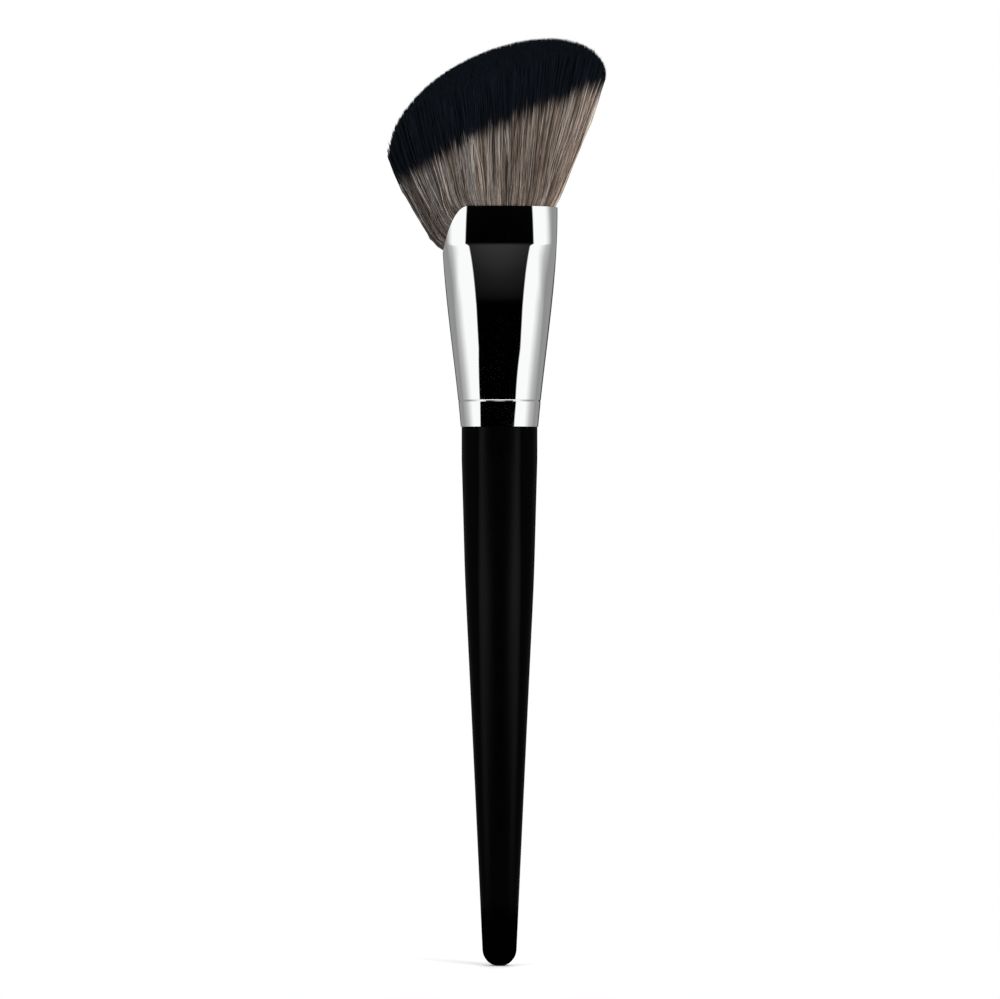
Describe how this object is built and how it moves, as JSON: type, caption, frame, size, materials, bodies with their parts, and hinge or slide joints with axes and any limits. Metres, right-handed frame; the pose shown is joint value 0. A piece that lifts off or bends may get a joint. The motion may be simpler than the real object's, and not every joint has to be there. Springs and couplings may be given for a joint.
{
  "type": "foundation brush",
  "caption": "Make-up brush with a slanted, fanned head of hair, a polished ferrule pressed oval at its mouth and a slim turned handle with a rounded butt.",
  "frame": {"origin": "middle of the small flat at the end of the handle's butt", "axes": "+Z along the handle, from the butt to the hair; +X towards the toe, where the hair is longest; -Y is the broad face that the picture shows"},
  "size_m": [0.0389, 0.0214, 0.1704],
  "materials": {
    "black_lacquer": "turned wood under smooth satin black lacquer",
    "polished_metal": "mirror polished silver-coloured plating",
    "epoxy": "hard clear amber adhesive",
    "tipped_hair": "fine brown, taupe and beige hair with navy-black dyed tips"
  },
  "bodies": {
    "root": {"handle": "black_lacquer", "ferrule": "polished_metal", "handle_glue": "epoxy", "hair_glue": "epoxy", "hair": "tipped_hair"}
  },
  "joints": []
}
